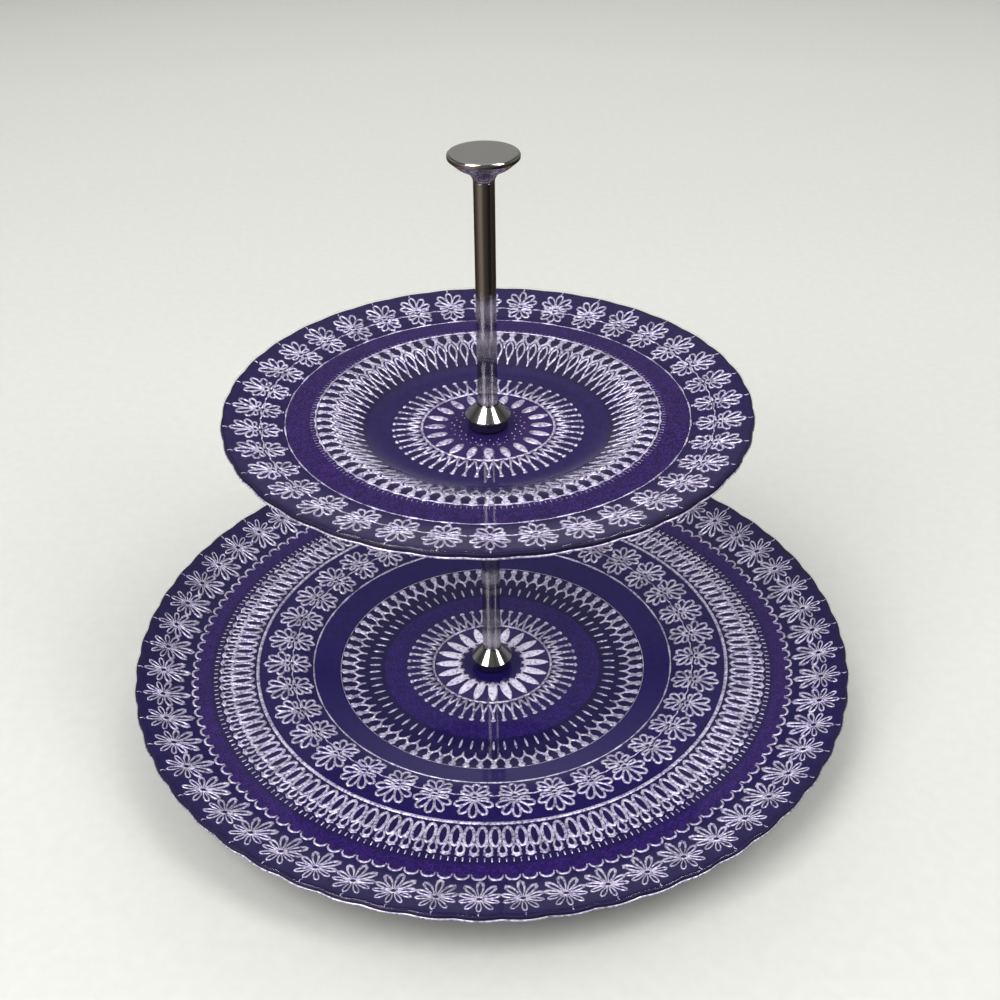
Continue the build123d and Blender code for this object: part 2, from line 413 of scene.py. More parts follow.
def firedLacquer(name, rings, rim, grained, look=lacquerLook):
    # the ring a point lies in comes from its distance to the stem, by way of a stepped ramp
    material, tree = newMaterial(name)
    place = addNode(tree, "ShaderNodeTexCoord").outputs["Object"]
    reach = reachFromStem(tree, place)
    share = addNode(tree, "ShaderNodeMath", {0: reach.outputs["Value"], 1: rim * mm}, operation="DIVIDE")
    colour = addNode(tree, "ShaderNodeValToRGB", {"Fac": share.outputs["Value"]})
    setRamp(colour, [(r / rim, c) for r, c in rings], "CONSTANT")
    mask = addNode(tree, "ShaderNodeValToRGB", {"Fac": share.outputs["Value"]})
    steps = [(0.0, 0.0)]
    for low, high in grained:
        steps += [(low / rim, 1.0), (high / rim, 0.0)]
    setRamp(mask, steps + [(1.0, 0.0)], "CONSTANT")
    # small grains in the violet rings
    grains = addNode(tree, "ShaderNodeTexVoronoi", {"Vector": place, "Scale": 1 / (look["grain"] * mm)})
    grainTone = addNode(tree, "ShaderNodeValToRGB", {"Fac": grains.outputs["Distance"]})
    setRamp(grainTone, [(0.15, 1.0), (0.6, 0.0)])
    grainShare = addNode(tree, "ShaderNodeMath", {0: grainTone.outputs["Color"], 1: mask.outputs["Color"]},
                         operation="MULTIPLY")
    grainMix = addNode(tree, "ShaderNodeMix", {"Factor": grainShare.outputs["Value"], "A": colour.outputs["Color"],
                                               "B": linear(look["grainColour"])}, data_type="RGBA")
    # a softer mottle everywhere, where the coat is thicker or thinner
    mottle = addNode(tree, "ShaderNodeTexNoise", {"Vector": place, "Scale": 1 / (look["mottle"] * mm),
                                                  "Detail": 4.0})
    shade = addNode(tree, "ShaderNodeMapRange", {"Value": mottle.outputs["Fac"], "From Min": 0.25,
                                                 "From Max": 0.75, "To Min": 0.72, "To Max": 1.3})
    tinted = addNode(tree, "ShaderNodeVectorMath", {0: grainMix.outputs["Result"],
                                                    "Scale": shade.outputs["Result"]}, operation="SCALE")
    lift = addNode(tree, "ShaderNodeMath", {0: grains.outputs["Distance"], 1: mask.outputs["Color"]},
                   operation="MULTIPLY")
    bump = addNode(tree, "ShaderNodeBump", {"Height": lift.outputs["Value"], "Strength": 0.5,
                                            "Distance": 0.15 * mm})
    shader = addNode(tree, "ShaderNodeBsdfPrincipled", {
        "Base Color": tinted.outputs["Vector"], "Roughness": look["roughness"],
        "Specular IOR Level": look["shine"], "Normal": bump.outputs["Normal"]})
    addNode(tree, "ShaderNodeOutputMaterial", {"Surface": shader.outputs["BSDF"]})
    return material


lowerLacquer = firedLacquer("firedLacquerLower", lowerRings, lowerShape["rim"], grainRings["lower"])
upperLacquer = firedLacquer("firedLacquerUpper", upperRings, upperShape["rim"], grainRings["upper"])

# Clear pressed glass: only its face towards the eye mirrors, the rest lets the paint through.
glassLook = {"ior": 1.42, "roughness": 0.05}
clearGlass, tree = newMaterial("clearPressedGlass")
facing = addNode(tree, "ShaderNodeFresnel", {"IOR": glassLook["ior"]})
side = addNode(tree, "ShaderNodeNewGeometry")
front = addNode(tree, "ShaderNodeMath", {0: 1.0, 1: side.outputs["Backfacing"]}, operation="SUBTRACT")
share = addNode(tree, "ShaderNodeMath", {0: facing.outputs["Fac"], 1: front.outputs["Value"]}, operation="MULTIPLY")
through = addNode(tree, "ShaderNodeBsdfTransparent")
mirror = addNode(tree, "ShaderNodeBsdfGlossy", {"Roughness": glassLook["roughness"]})
skin = addNode(tree, "ShaderNodeMixShader", {0: share.outputs["Value"], 1: through.outputs["BSDF"],
                                             2: mirror.outputs["BSDF"]})
addNode(tree, "ShaderNodeOutputMaterial", {"Surface": skin.outputs["Shader"]})


def metal(name, colour, roughness, markWidth, markDepth, stretch=0.15):
    # a metal whose polish varies a little: wipe marks drawn out along Z, or turning lines packed closer
    material, tree = newMaterial(name)
    place = addNode(tree, "ShaderNodeTexCoord").outputs["Object"]
    drawn = addNode(tree, "ShaderNodeMapping", {"Vector": place, "Scale": (1, 1, stretch)})
    marks = addNode(tree, "ShaderNodeTexNoise", {"Vector": drawn.outputs["Vector"],
                                                 "Scale": 1 / (markWidth * mm), "Detail": 3.0})
    gloss = addNode(tree, "ShaderNodeMapRange", {"Value": marks.outputs["Fac"], "From Min": 0.3, "From Max": 0.7,
                                                 "To Min": roughness * 0.7, "To Max": roughness * 1.4})
    bump = addNode(tree, "ShaderNodeBump", {"Height": marks.outputs["Fac"], "Strength": markDepth,
                                            "Distance": 0.05 * mm})
    shader = addNode(tree, "ShaderNodeBsdfPrincipled", {
        "Base Color": linear(colour), "Metallic": 1.0, "Roughness": gloss.outputs["Result"],
        "Normal": bump.outputs["Normal"]})
    addNode(tree, "ShaderNodeOutputMaterial", {"Surface": shader.outputs["BSDF"]})
    return material


# Chrome plate: a dark, near perfect mirror with faint wipe marks. Bright zinc: pale and a little milky.
# Turned brass: yellow, with fine rings from the lathe.
chrome = metal("polishedChromePlate", "#a8a5a4", 0.09, 3.0, 0.03)
zincSteel = metal("brightZincSteel", "#a9abad", 0.25, 0.6, 0.2)
turnedBrass = metal("turnedBrass", "#b08d4a", 0.3, 0.5, 0.2, stretch=6.0)

# Knob: satin face with fine turning rings, polished edge and flare. The face's paler colour is painted light,
# standing in for the brighter light the flat top catches from above.
knobLook = {"face": "#dddcd5", "flare": "#b4b1af", "turning": 0.25, "faceFrom": 0.35, "faceTo": 0.05,
            "polished": 0.1, "satin": 0.42}
satinChrome, tree = newMaterial("satinChromeKnob")
place = addNode(tree, "ShaderNodeTexCoord").outputs["Object"]
parts = addNode(tree, "ShaderNodeSeparateXYZ", {"Vector": place})
knobTop = heightRange("knob")[1] * mm
onTop = addNode(tree, "ShaderNodeMapRange", {"Value": parts.outputs["Z"],
                                             "From Min": knobTop - knobLook["faceFrom"] * mm,
                                             "From Max": knobTop - knobLook["faceTo"] * mm})
reach = reachFromStem(tree, place)
rings = addNode(tree, "ShaderNodeTexNoise", {"W": reach.outputs["Value"], "Scale": 1 / (knobLook["turning"] * mm),
                                             "Detail": 2.0}, noise_dimensions="1D")
gloss = addNode(tree, "ShaderNodeMapRange", {"Value": onTop.outputs["Result"], "To Min": knobLook["polished"],
                                            "To Max": knobLook["satin"]})
# the top face gets the paler colour: painted light from above, laid over its real satin finish
knobToneWithPaintedLight = addNode(tree, "ShaderNodeMix", {"Factor": onTop.outputs["Result"], "A": linear(knobLook["flare"]),
                                           "B": linear(knobLook["face"])}, data_type="RGBA")
ringShare = addNode(tree, "ShaderNodeMath", {0: rings.outputs["Fac"], 1: onTop.outputs["Result"]},
                    operation="MULTIPLY")
bump = addNode(tree, "ShaderNodeBump", {"Height": ringShare.outputs["Value"], "Strength": 0.25,
                                        "Distance": 0.03 * mm})
shader = addNode(tree, "ShaderNodeBsdfPrincipled", {"Base Color": knobToneWithPaintedLight.outputs["Result"], "Metallic": 1.0,
                                                    "Roughness": gloss.outputs["Result"],
                                                    "Normal": bump.outputs["Normal"]})
addNode(tree, "ShaderNodeOutputMaterial", {"Surface": shader.outputs["BSDF"]})


def plastic(name, colour, roughness, grainSize, see, shine=0.5):
    # a moulded soft or hard plastic with a faint surface grain; see is the share of light that passes
    material, tree = newMaterial(name)
    place = addNode(tree, "ShaderNodeTexCoord").outputs["Object"]
    grain = addNode(tree, "ShaderNodeTexNoise", {"Vector": place, "Scale": 1 / (grainSize * mm), "Detail": 2.0})
    tone = addNode(tree, "ShaderNodeMapRange", {"Value": grain.outputs["Fac"], "To Min": 0.9, "To Max": 1.05})
    tint = addNode(tree, "ShaderNodeVectorMath", {0: linear(colour)[:3], "Scale": tone.outputs["Result"]},
                   operation="SCALE")
    bump = addNode(tree, "ShaderNodeBump", {"Height": grain.outputs["Fac"], "Strength": 0.2, "Distance": 0.05 * mm})
    shader = addNode(tree, "ShaderNodeBsdfPrincipled", {
        "Base Color": tint.outputs["Vector"], "Roughness": roughness, "Transmission Weight": see,
        "Specular IOR Level": shine, "Normal": bump.outputs["Normal"]})
    addNode(tree, "ShaderNodeOutputMaterial", {"Surface": shader.outputs["BSDF"]})
    return material


# Silicone: milky, lets half the light through. Rubber: near black with an indigo cast, dull; on the washers under the
# bells this near black is painted shade, standing in for the shadow beneath the bells. Nylon: warm white.
softSilicone = plastic("clearSilicone", "#dfe2e0", 0.35, 0.8, 0.5)
shadowIndigoRubber = plastic("mouldedShadowIndigoRubber", "#130d2b", 0.55, 0.6, 0.0, shine=0.2)
whiteNylon = plastic("mouldedNylon", "#dcdad4", 0.4, 0.5, 0.0)
print("materials made:", len(bpy.data.materials))



def rimBend(shape):
    # the scallops, in the form that turned asks for
    return lambda radius, angle, height: scalloped(shape, radius, angle)


glassNose, paintNose = 1.7, 1.2    # how far the squarish nose at the rim reaches
paintHoleInset = 0.6
for shape, paint in ((lowerShape, lowerLacquer), (upperShape, upperLacquer)):
    bend = rimBend(shape)
    skinMesh = turned(dishProfile(shape, 0.0, 0.0, 0.0, 0.0, glassNose), shape["turnSteps"], bend)
    makePiece(shape["name"] + "DishGlass", *skinMesh, shape["body"], "plate_glass", clearGlass,
              stands=[shape["node"]], sharpAngle=50)
    paintMesh = turned(dishProfile(shape, paintDepth, paintLift, paintInset, paintHoleInset, paintNose),
                       shape["turnSteps"], bend)
    makePiece(shape["name"] + "DishPaint", *paintMesh, shape["body"], "plate_glass", paint, sharpAngle=50)
print("dishes made")

# ornament, ring by ring from the stem outwards

petalRing = {"count": 20, "lower": (13.2, 14.7, 4.9), "upper": (17.4, 10.5, 4.2)}
crownRing = {"count": 50, "foot": 28.6, "apex": 35.0, "stem": 38.6, "head": 40.0,
             "lower": (1.35, 1.4), "upper": (1.2, 1.25)}
dumbbellRing = {"count": 72, "border": 72.3, "joint": 62.9,
                "lower": {"tongue": 1.25, "tongueFoot": 52.8, "tongueLength": 6.6},
                "upper": {"loopLow": 54.6, "loopTop": 64.6, "loopHalf": 1.7, "stroke": 0.95, "tongue": 1.1,
                          "tongueFoot": 52.2, "tongueLength": 3.2}}
halfFlowerRing = {"count": 36, "outerMiddle": 97.2, "innerMiddle": 94.0, "lower": 5.0, "upper": 0.0,
                  "petals": {
                      "lower": ([(0, 8.9, 3.2), (33, 8.7, 3.2), (65, 7.4, 3.1), (92, 4.6, 1.9)],
                                [(180, 6.9, 3.0), (141, 7.0, 3.0), (105, 5.4, 2.5)], 0.8, 1.35),
                      "upper": ([(0, 8.3, 2.8), (34, 8.0, 2.8), (66, 6.5, 2.6), (93, 4.2, 1.7)],
                                [(180, 6.4, 2.8), (142, 6.4, 2.8), (106, 5.0, 2.3)], 0.6, 1.05)}}
chainRing = {"count": 140, "ovalMiddle": 117.7, "ovalHalf": 5.1, "dropLow": 121.2, "dropLength": 5.7,
             "stroke": 1.5}
waveRing = {"count": 130, "low": 137.6, "high": 140.3, "half": 2.9}
outerFlowerRing = {"count": 58, "phase": -2.4, "middle": 152.9,
                   "petals": [(0, 6.9, 1.9, 0.7), (37, 7.2, 1.9, 0.7), (74, 6.6, 1.9, 0.8), (110, 6.9, 2.2, 1.4),
                              (146, 9.0, 2.5, 1.7), (180, 10.0, 2.5, 1.7)]}


def halfPitch(radius, count):
    return math.pi * radius / count


def petalParts(size):
    # solid leaves with their points out, and short specks between their feet
    start, length, width = petalRing[size]
    leaf = raisedDome(leafOutline((0, start), 0, length, width, 16, 1.35, 1.15))
    gap = halfPitch(16.0, petalRing["count"])
    if size == "lower":
        speck = raisedLine([(gap - 1.3, 17.6), (gap - 0.2, 15.4)], [0.5, 0.7])
        return [leaf, speck, flipped(speck)]
    dots = [raisedDome(oval(spot, 0.3, 0.42, 6), rise=0.5) for spot in ((0.5, 12.0), (-0.8, 14.3), (gap - 0.4, 15.6))]
    return [leaf] + dots


def crownParts(size):
    # a zigzag of narrow tents, each with a stem and a round head
    r = crownRing
    stroke, head = r[size]
    foot = halfPitch(r["foot"], r["count"])
    side = raisedLine([(foot, r["foot"]), (foot * 0.62, 31.4), (0.15, r["apex"])],
                      [stroke, 0.8 * stroke, 0.9 * stroke])
    stem = raisedLine([(0, r["apex"] - 0.4), (0, 37.0), (0, r["stem"] + 0.4)], [1.1 * stroke, 0.85 * stroke, stroke])
    return [side, flipped(side), stem, raisedDome(oval((0, r["head"]), head, 0.8 * head, 8))]


def dumbbellParts(size):
    # a waisted spool with two thick arms that meet the neighbours' in short prongs, and beneath it
    # a slim tongue, which on the small plate hangs from a narrow loop
    r = dumbbellRing
    own = r[size]
    tongue = raisedDome(leafOutline((0, own["tongueFoot"]), 0, own["tongueLength"], own["tongue"], 10, 1.0, 0.8),
                        rise=0.8)
    parts = [tongue]
    if "loopLow" in own:
        a = np.arange(14) * fullTurn / 14
        share = (1 - np.cos(a)) / 2
        across = own["loopHalf"] * np.sign(np.sin(a)) * np.abs(np.sin(math.pi * share ** 1.4)) ** 0.85
        along = own["loopLow"] + (own["loopTop"] - own["loopLow"]) * share
        parts.append(raisedLine(np.stack([across, along], -1), own["stroke"], closed=True))
    spool = raisedDome([(0.7, 65.2), (1.5, 66.4), (0.95, 68.2), (1.15, 69.2), (1.85, 70.4), (1.75, 71.6), (0.9, 72.3),
                        (-0.9, 72.3), (-1.75, 71.6), (-1.85, 70.4), (-1.15, 69.2), (-0.95, 68.2), (-1.5, 66.4),
                        (-0.7, 65.2)], shoulder=0.7)
    edge = halfPitch(64.4, r["count"])
    arm = raisedLine([(0.5, 66.4), (1.4, 65.4), (edge - 0.35, 64.2), (edge - 0.1, r["joint"]), (edge - 0.1, 61.0)],
                     [1.3, 1.15, 1.15, 1.1, 0.5])
    return parts + [spool, arm, flipped(arm)]


def combParts(length):
    return [raisedLine([(0, 72.9), (0, 72.9 + length)], [0.22, 0.16], rise=0.15)]


def halfFlowerParts(size):
    # two fans of looped petals back to back, a ring between them and links to both neighbours
    r = halfFlowerRing
    outer, inner, thin, thick = r["petals"][size]
    parts = []
    for lean, length, width in outer:
        loop = petalLoop((0, r["outerMiddle"]), lean, 1.3, length, width, thin, thick)
        parts += [loop] if lean == 0 else bothSides(loop)
    for lean, length, width in inner:
        loop = petalLoop((0, r["innerMiddle"]), lean, 0.6, length, width, thin, thick)
        parts += [loop] if lean == 180 else bothSides(loop)
    ring = raisedLine(oval((0, 96.8), 1.6, 1.1, 8), 0.75, closed=True)
    edge = halfPitch(94.6, r["count"])
    link = raisedLine([(0.9, 95.0), (3.0, 94.9), (5.4, 94.4), (edge, 94.9)], [0.9, 0.8, 0.6, 0.5])
    blob = raisedDome(oval((0, 86.2), 0.9, 0.5, 8), rise=0.8)
    return parts + [ring, blob] + bothSides(link)


def dashParts():
    return [raisedLine([(-4.6, 84.7), (-2.5, 84.9), (0, 84.9), (2.5, 84.8), (4.2, 84.8)],
                       [0.25, 0.75, 0.9, 0.7, 0.25], rise=0.8)]


def chainParts():
    # long ovals side by side, drops in the gaps above them, an arc over each drop and two short teeth
    r = chainRing
    ovalLoop = raisedLine(oval((0, r["ovalMiddle"]), 2.05, r["ovalHalf"], 12), r["stroke"], closed=True)
    half = halfPitch(123.5, r["count"])
    drop = petalLoop((half, r["dropLow"]), 0, 0.0, r["dropLength"], 3.3, 1.0, 1.15, 10)
    arch = raisedLine([(half - 2.0, 126.9), (half, 127.8), (half + 2.0, 126.9)], [0.9, 1.2, 0.9])
    quarter = halfPitch(130.0, r["count"]) / 2
    tooth = raisedLine([(quarter, 128.8), (quarter, 130.7)], [0.75, 0.4], rise=0.6)
    return [ovalLoop, drop, arch, tooth, flipped(tooth)]


def waveParts():
    # one low arch, open towards the stem
    r = waveRing
    share = np.array([-1.0, -0.86, -0.45, 0.0, 0.45, 0.86, 1.0])
    rise = np.array([0.0, 0.55, 0.95, 1.0, 0.95, 0.55, 0.0])
    line = np.stack([r["half"] * share, r["low"] + (r["high"] - r["low"]) * rise], -1)
    return [raisedLine(line, [0.7, 0.9, 1.15, 1.2, 1.15, 0.9, 0.7])]


def outerFlowerParts():
    # a small flower: short thin petals towards the rim, longer ones with heavy tips towards the stem
    r = outerFlowerRing
    parts = []
    for lean, length, width, thick in r["petals"]:
        loop = petalLoop((0, r["middle"]), lean, 1.3, length, width, 0.55, thick, 10)
        parts += [loop] if lean in (0, 180) else bothSides(loop)
    ring = raisedLine(oval((0, r["middle"]), 1.5, 1.5, 8), 0.8, closed=True)
    return parts + [ring]


# short silver strokes just inside the rim: painted highlights, standing in for the glints the scalloped glass edge
# catches
def rimGlintDash(low, high):
    return [raisedLine([(0.5, low), (-0.1, 0.5 * (low + high)), (0.2, high)], [0.3, 0.5, 0.35], rise=0.6)]


for shape in (lowerShape, upperShape):
    size = shape["name"]
    flowerPhase = math.radians(halfFlowerRing[size])
    border = raisedHoop(dumbbellRing["border"], 0.85, dumbbellRing["count"], 0.12, 0.3, 576)
    faintBorder = raisedHoop(dumbbellRing["border"], 0.3, steps=432, rise=0.3)
    rings = {
        "Petals": [(petalParts(size), petalRing["count"], 0.0)],
        "Crown": [(crownParts(size), crownRing["count"], 0.0),
                  ([raisedHoop(28.1, 1.0, crownRing["count"], 0.12, 0.25, 400)], 1, 0.0)],
        "Dumbbells": [(dumbbellParts(size), dumbbellRing["count"], 0.0),
                      ([border if size == "upper" else faintBorder], 1, 0.0)],
        "HalfFlowers": [(halfFlowerParts(size), halfFlowerRing["count"], flowerPhase)],
    }
    if size == "lower":
        outerPhase = math.radians(outerFlowerRing["phase"])
        rings["HalfFlowers"].append(([raisedHoop(84.8, 0.75, halfFlowerRing["count"], 0.0, 0.25, 432)], 1, 0.0))
        rings["Chain"] = [(chainParts(), chainRing["count"], 0.0)]
        rings["Cord"] = [([raisedHoop(110.5, 1.7, 420, 0.0, 0.25, 1680)], 1, 0.0),
                         ([raisedDome(oval((0, 112.7), 1.05, 0.9, 8))], chainRing["count"], 0.0)]
        rings["Waves"] = [(waveParts(), waveRing["count"], 0.0)]
        rings["OuterFlowers"] = [(outerFlowerParts(), outerFlowerRing["count"], outerPhase),
                                 (rimGlintDash(161.8, 163.9), outerFlowerRing["count"], outerPhase)]
    else:
        rings["Comb"] = [(combParts(1.7), 216, 0.0)]
        rings["HalfFlowers"] += [(dashParts(), halfFlowerRing["count"], flowerPhase),
                                 ([raisedHoop(84.8, 0.3, steps=432, rise=0.5)], 1, 0.0)]
        rings["RimHooks"] = [(rimGlintDash(107.7, 109.8), halfFlowerRing["count"], flowerPhase)]
    for ringName, groups in rings.items():
        # the lower plate's petals take the lighter silver, painted light against the upper plate's shade
        paint = litUpSilverPaint if (size, ringName) == ("lower", "Petals") else silverPaint
        piece = makePiece(size + ringName, *spread(shape, groups), shape["body"], "plate_glass", paint)
        print(piece.name, len(piece.data.polygons), "faces")

# a silver line round the rim's lower edge: a painted highlight, standing in for the glint along the glass edge
rimGlintLine = {"lower": (0.5, 0.55), "upper": (0.4, 0.45)}
for shape in (lowerShape, upperShape):
    inset, thick = rimGlintLine[shape["name"]]
    low = topHeight(shape, shape["rim"]) - glassThickness + 0.75
    section = arc((shape["rim"] - inset, low), thick, 0, 324, 10)
    makePiece(shape["name"] + "RimGlintLine", *turned(section, shape["turnSteps"], rimBend(shape)), shape["body"],
              "plate_glass", silverPaint)

tubeRadius = 4.2
tubeBore = 3.3
threadCrest = 2.5


def tubeProfile(node):
    low, high = heightRange(node)
    return roundedRing(tubeBore, tubeRadius, low, high, 0.15)


for node, body in (("lower_tube", "column"), ("upper_tube", "handle")):
    makePiece(node.split("_")[0] + "StemTube", *turned(tubeProfile(node), 96), body, "polished_chrome", chrome,
              stands=[node], sharpAngle=40)


bellShape = {"radius": 9.6, "shoulder": 4.7, "edge": 0.25, "fit": 0.02}


def bellProfile(node, lip, bulge):
    # a flared foot: a lip band, then a cone whose radius follows R - (R - shoulder) t^bulge
    low, high = heightRange(node)
    radius, edgeRounding, bore = bellShape["radius"], bellShape["edge"], tubeRadius + bellShape["fit"]
    t = np.linspace(0, 1, 14)
    cone = np.stack([radius - (radius - bellShape["shoulder"]) * t ** bulge, low + lip + (high - low - lip) * t], -1)
    edge = arc((radius - edgeRounding, low + edgeRounding), edgeRounding, -90, 0, 4)
    return np.concatenate([[(bore, low)], edge, cone, [(bore, high)]])


for node, body, lip, bulge in (("lower_bell", "column", 0.5, 1.02), ("upper_bell", "handle", 0.9, 1.0)):
    makePiece(node.split("_")[0] + "FlaredBell", *turned(bellProfile(node, lip, bulge), 120), body,
              "polished_chrome", chrome, stands=[node], sharpAngle=30)

# the trumpet's radius is read at even depths off a smooth curve through its given points
knobShape = {"radius": 14.0, "edge": 1.3, "threadDepth": 6.0,
             "outline": [(14.0, 2.0), (12.7, 3.4), (10.1, 5.6), (7.5, 7.0), (5.4, 8.6), (4.2, 11.3)]}


def smoothCurve(points, steps):
    # Hermite spans between the points; each slope is that of the line from the point before to the one after
    points = np.asarray(points, float)
    slopes = np.gradient(points, axis=0)
    slopes[0, 0] = slopes[-1, 0] = 0
    t = np.linspace(0, 1, steps, endpoint=False)[:, None]
    spans = [a * (1 + 2 * t) * (1 - t) ** 2 + u * t * (1 - t) ** 2 + b * t ** 2 * (3 - 2 * t) - v * t ** 2 * (1 - t)
             for a, b, u, v in zip(points, points[1:], slopes, slopes[1:])]
    return np.concatenate(spans + [points[-1:]])


neck, top = heightRange("knob")
trumpet = smoothCurve(knobShape["outline"], 6)
trumpet[:, 1] = top - trumpet[:, 1]
edgeMiddle = knobShape["radius"] - knobShape["edge"]
knobProfile = np.concatenate([
    [(0, top), (4, top), (8, top), (11.5, top)],
    arc((edgeMiddle, top - knobShape["edge"]), knobShape["edge"], 88, 0, 8),
    trumpet,
    [(threadCrest, neck), (threadCrest, neck + knobShape["threadDepth"]), (0, neck + knobShape["threadDepth"])]])
makePiece("flatKnob", *turned(knobProfile, 128), "handle", "satin_chrome", satinChrome, stands=["knob"],
          sharpAngle=30)

# rings: node, body, piece, hole, outer radius, rounding, material, slot
washers = [
    ("seat_washer", "column", "seatWasher", 2.5, 9.5, 0.4, chrome, "polished_chrome"),
    ("base_washer", "base_clamp", "baseWasher", 3.0, 8.0, 0.3, zincSteel, "zinc_steel"),
    # the soft washers under the bells are near black as painted shade, for the shadow beneath the bells
    ("lower_top_washer", "base", "lowerSoftWasher", 3.0, 8.4, 0.5, shadowIndigoRubber, "dark_rubber"),
    ("upper_top_washer", "handle_seat", "upperSoftWasher", 3.0, 8.4, 0.5, shadowIndigoRubber, "dark_rubber"),
    ("lower_under_washer", "base", "lowerUnderWasher", 3.0, 9.0, 0.3, softSilicone, "clear_silicone"),
    ("upper_under_washer", "upper_tier", "upperUnderWasher", 3.0, 9.0, 0.3, softSilicone, "clear_silicone"),
]
for node, body, name, hole, outer, rounding, material, slotName in washers:
    low, high = heightRange(node)
    makePiece(name, *turned(roundedRing(hole, outer, low, high, rounding), 96), body, slotName, material,
              stands=[node], sharpAngle=50)

threadShape = {"core": 2.05, "pitch": 0.8, "rowsPerPitch": 10, "turnSteps": 40}


def threadRadius(radius, angle, height):
    # the radius swings between core and crest once per pitch, and the swing climbs one pitch per turn
    swing = np.abs(((height / threadShape["pitch"] - angle / fullTurn) % 1.0) * 2 - 1)
    thread = threadShape["core"] + (threadCrest - threadShape["core"]) * np.clip(1.6 * swing - 0.3, 0, 1)
    return np.minimum(radius, thread)


def threadRun(low, high):
    rows = int((high - low) / threadShape["pitch"] * threadShape["rowsPerPitch"])
    heights = np.linspace(low, high, rows)
    ends = np.minimum(heights - low, high - heights)
    return np.stack([np.minimum(threadCrest, threadCrest - 0.5 + ends), heights], -1)[::-1]


for node, body, name in (("link_stud", "column", "linkStud"), ("knob_stud", "handle", "knobStud")):
    low, high = heightRange(node)
    profile = np.concatenate([[(0, high)], threadRun(low, high), [(0, low)]])
    makePiece(name, *turned(profile, threadShape["turnSteps"], threadRadius), body, "zinc_steel", zincSteel,
              stands=[node], sharpAngle=45)

screwShape = {"headRadius": 5.5, "headHeight": 1.9, "rounding": 1.0, "edge": 0.2, "relief": 0.3,
              "socketFlat": 1.47, "socketRadius": 1.5, "socketDepth": 1.3}
low, high = heightRange("base_screw")
seat = low + screwShape["headHeight"]


def screwRadius(radius, angle, height):
    # thread above the head; in the socket a hexagon, flat / cos(a mod 60 - 30 degrees)
    hexagon = screwShape["socketFlat"] / np.cos((angle % (fullTurn / 6)) - fullTurn / 12)
    inSocket = (radius < 1.7) & (radius > 0.5) & (height < seat)
    turnedRadius = np.where(height > seat + screwShape["relief"], threadRadius(radius, angle, height), radius)
    return np.where(inSocket, hexagon * radius / screwShape["socketRadius"], turnedRadius)


headEdge, headRounding = screwShape["edge"], screwShape["rounding"]
socket, socketTop = screwShape["socketRadius"], low + screwShape["socketDepth"]
screwProfile = np.concatenate([
    [(0, high)], threadRun(seat + screwShape["relief"], high),
    [(threadCrest, seat), (screwShape["headRadius"] - headEdge, seat)],
    arc((screwShape["headRadius"] - headEdge, seat - headEdge), headEdge, 90, 0, 3),
    arc((screwShape["headRadius"] - headRounding, low + headRounding), headRounding, 0, -90, 6),
    [(2.6, low), (socket, low), (socket, socketTop), (0, socketTop)]])
makePiece("baseScrew", *turned(screwProfile, 72, screwRadius), "base_fixing", "zinc_steel", zincSteel,
          stands=["base_screw"], sharpAngle=35)

# four soft bumpers, domed towards the table
footShape = {"circle": 46.0, "count": 4, "top": 5.9, "flat": 3.6, "bulge": 4.9}
low, high = heightRange("feet")
footProfile = np.concatenate([
    [(0, high), (footShape["top"], high), (footShape["top"], high - 0.5), (5.6, high - 1.5)],
    [(footShape["bulge"], low + 1.3), (4.4, low + 0.5), (footShape["flat"], low + 0.06), (0, low)]])
footPoints, footQuads, footTriangles = turned(footProfile, 48)
bearings = math.radians(45) + np.arange(footShape["count"]) * fullTurn / footShape["count"]
shifts = footShape["circle"] * np.stack([np.cos(bearings), np.sin(bearings), 0 * bearings], -1)
hops = (np.arange(footShape["count"]) * len(footPoints))[:, None, None]
makePiece("bumperFeet", (footPoints[None] + shifts[:, None]).reshape(-1, 3),
          (footQuads[None] + hops).reshape(-1, 4), (footTriangles[None] + hops).reshape(-1, 3), "base",
          "clear_silicone", softSilicone, stands=["feet"], sharpAngle=40)

keptNodes = {
    "lower_bush": whiteNylon, "upper_bush": whiteNylon,
    "lower_tube_foot_insert": turnedBrass, "lower_tube_head_insert": turnedBrass,
    "upper_tube_foot_insert": turnedBrass, "upper_tube_head_insert": turnedBrass,
}
for node, material in keptNodes.items():
    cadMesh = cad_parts[node].data
    cadMesh.materials.clear()
    cadMesh.materials.append(material)
print("stem made")

# stage: a plain pale floor, in metres
floorLook = {"dark": "#bebfba", "light": "#c8c8c3", "speck": 6.0, "roughness": 0.6, "half": 4.0}
floorMaterial, tree = newMaterial("paleWorktop")
place = addNode(tree, "ShaderNodeTexCoord").outputs["Object"]
speck = addNode(tree, "ShaderNodeTexNoise", {"Vector": place, "Scale": 1 / (floorLook["speck"] * mm), "Detail": 3.0})
tone = addNode(tree, "ShaderNodeMix", {"Factor": speck.outputs["Fac"], "A": linear(floorLook["dark"]),
                                       "B": linear(floorLook["light"])}, data_type="RGBA")
shader = addNode(tree, "ShaderNodeBsdfPrincipled", {"Base Color": tone.outputs["Result"],
                                                    "Roughness": floorLook["roughness"]})
addNode(tree, "ShaderNodeOutputMaterial", {"Surface": shader.outputs["BSDF"]})
floorMesh = bpy.data.meshes.new("floor")
half = floorLook["half"]
floorMesh.from_pydata([(-half, -half, 0), (half, -half, 0), (half, half, 0), (-half, half, 0)], [], [(0, 1, 2, 3)])
floorMesh.materials.append(floorMaterial)
floor = bpy.data.objects.new("floor", floorMesh)
bpy.context.scene.collection.objects.link(floor)
floor.visible_glossy = False

